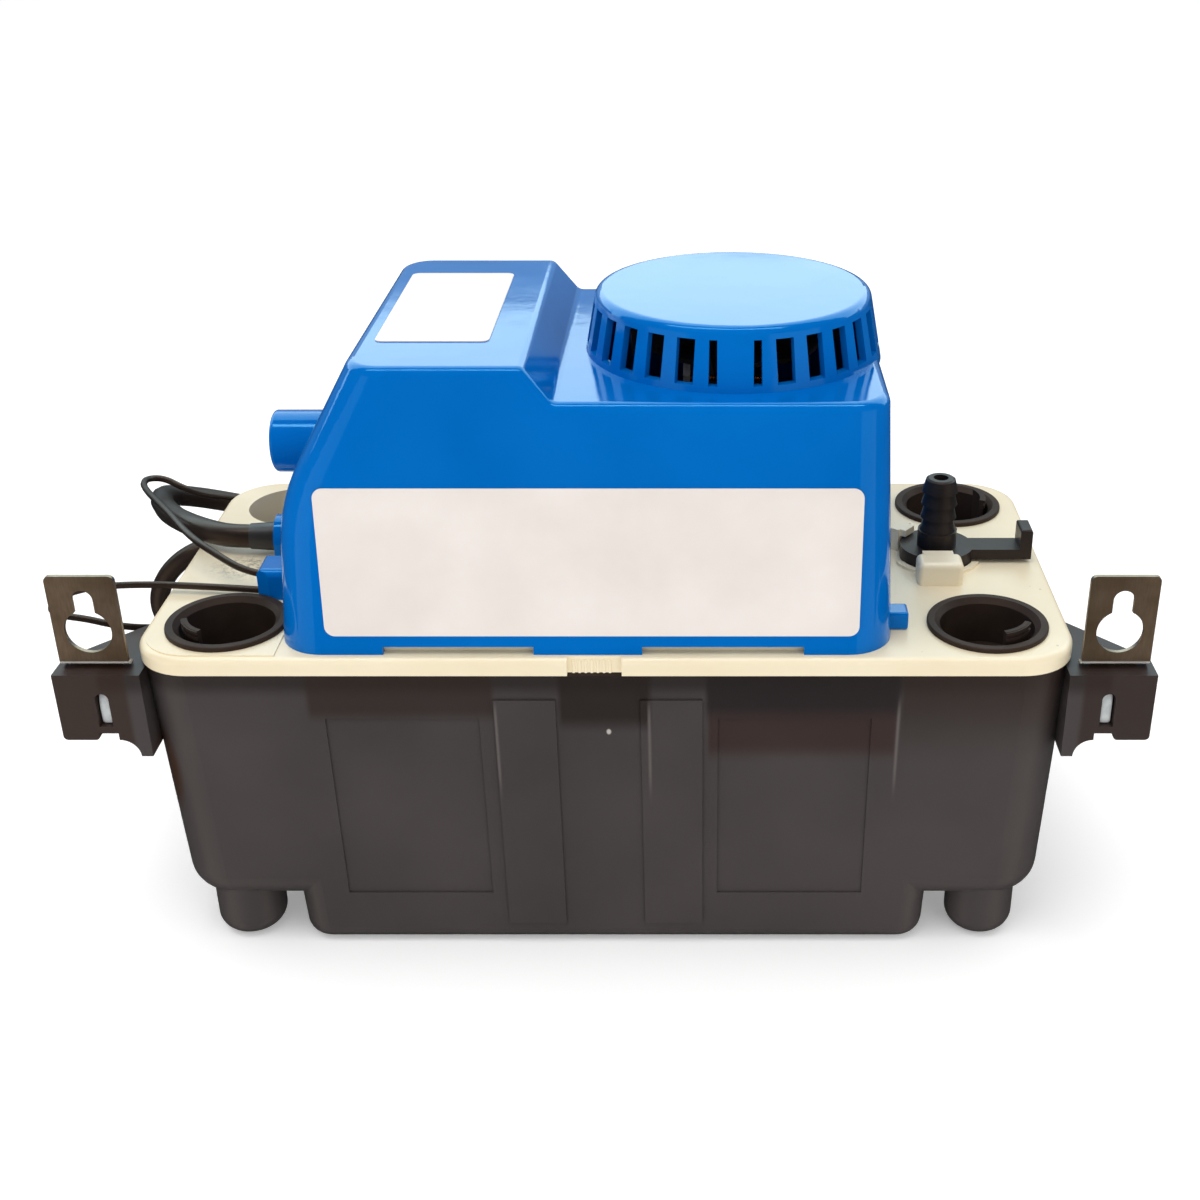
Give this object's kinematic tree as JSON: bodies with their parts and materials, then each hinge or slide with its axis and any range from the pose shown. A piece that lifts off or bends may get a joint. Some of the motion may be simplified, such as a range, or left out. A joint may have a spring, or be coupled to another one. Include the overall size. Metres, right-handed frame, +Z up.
{
  "type": "condensate pump",
  "caption": "Condensate pump: a charcoal tank on feet with wall-hanging ears, an ivory lid with plugged inlets and a check valve, and a blue vented motor cover with a mains cord.",
  "frame": {"origin": "middle of the pump's footprint, on the surface that it stands on, cords left out", "axes": "+X along the tank towards the check valve, +Y from the labelled front to the back, +Z up"},
  "size_m": [0.3158, 0.2242, 0.176],
  "materials": {
    "tank_plastic": "moulded charcoal ABS, satin",
    "lid_plastic": "moulded ivory ABS, satin",
    "cover_plastic": "moulded azure ABS, gloss",
    "stainless_sheet": "pressed stainless sheet, brushed",
    "label_film": "plain off-white label film",
    "black_rubber": "moulded black rubber",
    "valve_plastic": "moulded black acetal",
    "zinc_steel": "zinc plated steel",
    "lamination_steel": "stacked steel laminations, varnished",
    "copper_winding": "enamelled copper wire",
    "white_nylon": "moulded natural nylon",
    "bearing_bronze": "sintered bronze",
    "shaft_steel": "ground stainless bar",
    "grey_pvc": "moulded grey PVC",
    "ball_rubber": "moulded nitrile rubber",
    "cord_jacket": "extruded black PVC jacket",
    "plug_pvc": "moulded black PVC",
    "nickel_brass": "nickel plated brass"
  },
  "bodies": {
    "base": {"tank": "tank_plastic", "tank_gasket": "black_rubber", "tank_lid": "lid_plastic", "hanger_bracket_left": "stainless_sheet", "hanger_bracket_right": "stainless_sheet", "motor_cover": "cover_plastic", "front_label": "label_film", "top_label": "label_film", "motor_standoffs": "white_nylon", "lower_bearing_bracket": "zinc_steel", "upper_bearing_bracket": "zinc_steel", "motor_bearings": "bearing_bronze", "motor_stator": "lamination_steel", "motor_coil": "copper_winding", "coil_bobbin": "white_nylon", "motor_screws": "zinc_steel", "pump_column": "grey_pvc", "volute_housing": "grey_pvc", "volute_plate": "grey_pvc", "volute_screws": "zinc_steel", "inlet_strainer": "grey_pvc", "discharge_tube": "grey_pvc", "float_bracket": "white_nylon", "float_pivot_pin": "shaft_steel", "run_switch": "valve_plastic", "overflow_switch": "valve_plastic", "switch_terminals": "nickel_brass", "switch_bracket": "zinc_steel", "switch_screws": "zinc_steel", "bracket_screws": "zinc_steel", "mains_strain_relief": "plug_pvc", "mains_cord": "cord_jacket", "mains_cord_coil": "cord_jacket", "mains_cord_tail": "cord_jacket", "mains_plug": "plug_pvc", "mains_plug_blades": "nickel_brass", "switch_lead_a": "cord_jacket", "switch_lead_a_coil": "cord_jacket", "switch_lead_b": "cord_jacket", "switch_lead_b_coil": "cord_jacket"},
    "rotor": {"motor_shaft": "shaft_steel", "rotor_core": "lamination_steel", "cooling_fan": "valve_plastic", "water_slinger": "black_rubber", "impeller": "white_nylon"},
    "float": {"float_arm": "white_nylon", "float_block": "grey_pvc"},
    "run_rod": {"run_pushrod": "white_nylon"},
    "overflow_rod": {"overflow_pushrod": "white_nylon"},
    "check_valve": {"check_valve": "valve_plastic", "check_valve_seal": "black_rubber"},
    "check_ball": {"check_ball": "ball_rubber"},
    "plug_front_left": {"inlet_plug_front_left": "black_rubber"},
    "plug_front_right": {"inlet_plug_front_right": "black_rubber"},
    "plug_back_right": {"inlet_plug_back_right": "black_rubber"}
  },
  "joints": [
    {"name": "rotor_spin", "type": "hinge", "parent": "base", "child": "rotor", "pos_m": [0.033, -0.004, 0], "axis": [0, 0, 1], "continuous": true},
    {"name": "float_swing", "type": "hinge", "parent": "base", "child": "float", "pos_m": [-0.022, 0, 0.08], "axis": [0, 1, 0], "range_deg": [0, 25]},
    {"name": "run_rod_slide", "type": "slide", "parent": "base", "child": "run_rod", "axis": [0, 0, 1], "range_m": [0, 0.0051]},
    {"name": "overflow_rod_slide", "type": "slide", "parent": "base", "child": "overflow_rod", "axis": [0, 0, 1], "range_m": [0, 0.0079]},
    {"name": "check_valve_turn", "type": "hinge", "parent": "base", "child": "check_valve", "pos_m": [0.0917, 0.0025, 0.095], "axis": [0, 0, -1], "range_deg": [0, 35]},
    {"name": "check_ball_lift", "type": "slide", "parent": "check_valve", "child": "check_ball", "axis": [0, 0, 1], "range_m": [0, 0.003]},
    {"name": "plug_front_left_pull", "type": "slide", "parent": "base", "child": "plug_front_left", "axis": [0, 0, 1], "range_m": [0, 0.03]},
    {"name": "plug_front_right_pull", "type": "slide", "parent": "base", "child": "plug_front_right", "axis": [0, 0, 1], "range_m": [0, 0.03]},
    {"name": "plug_back_right_pull", "type": "slide", "parent": "base", "child": "plug_back_right", "axis": [0, 0, 1], "range_m": [0, 0.03]}
  ],
  "couplings": [
    {"joint": "run_rod_slide", "follows": "float_swing", "m_per_rad": 0.0115},
    {"joint": "overflow_rod_slide", "follows": "float_swing", "m_per_rad": 0.018}
  ]
}
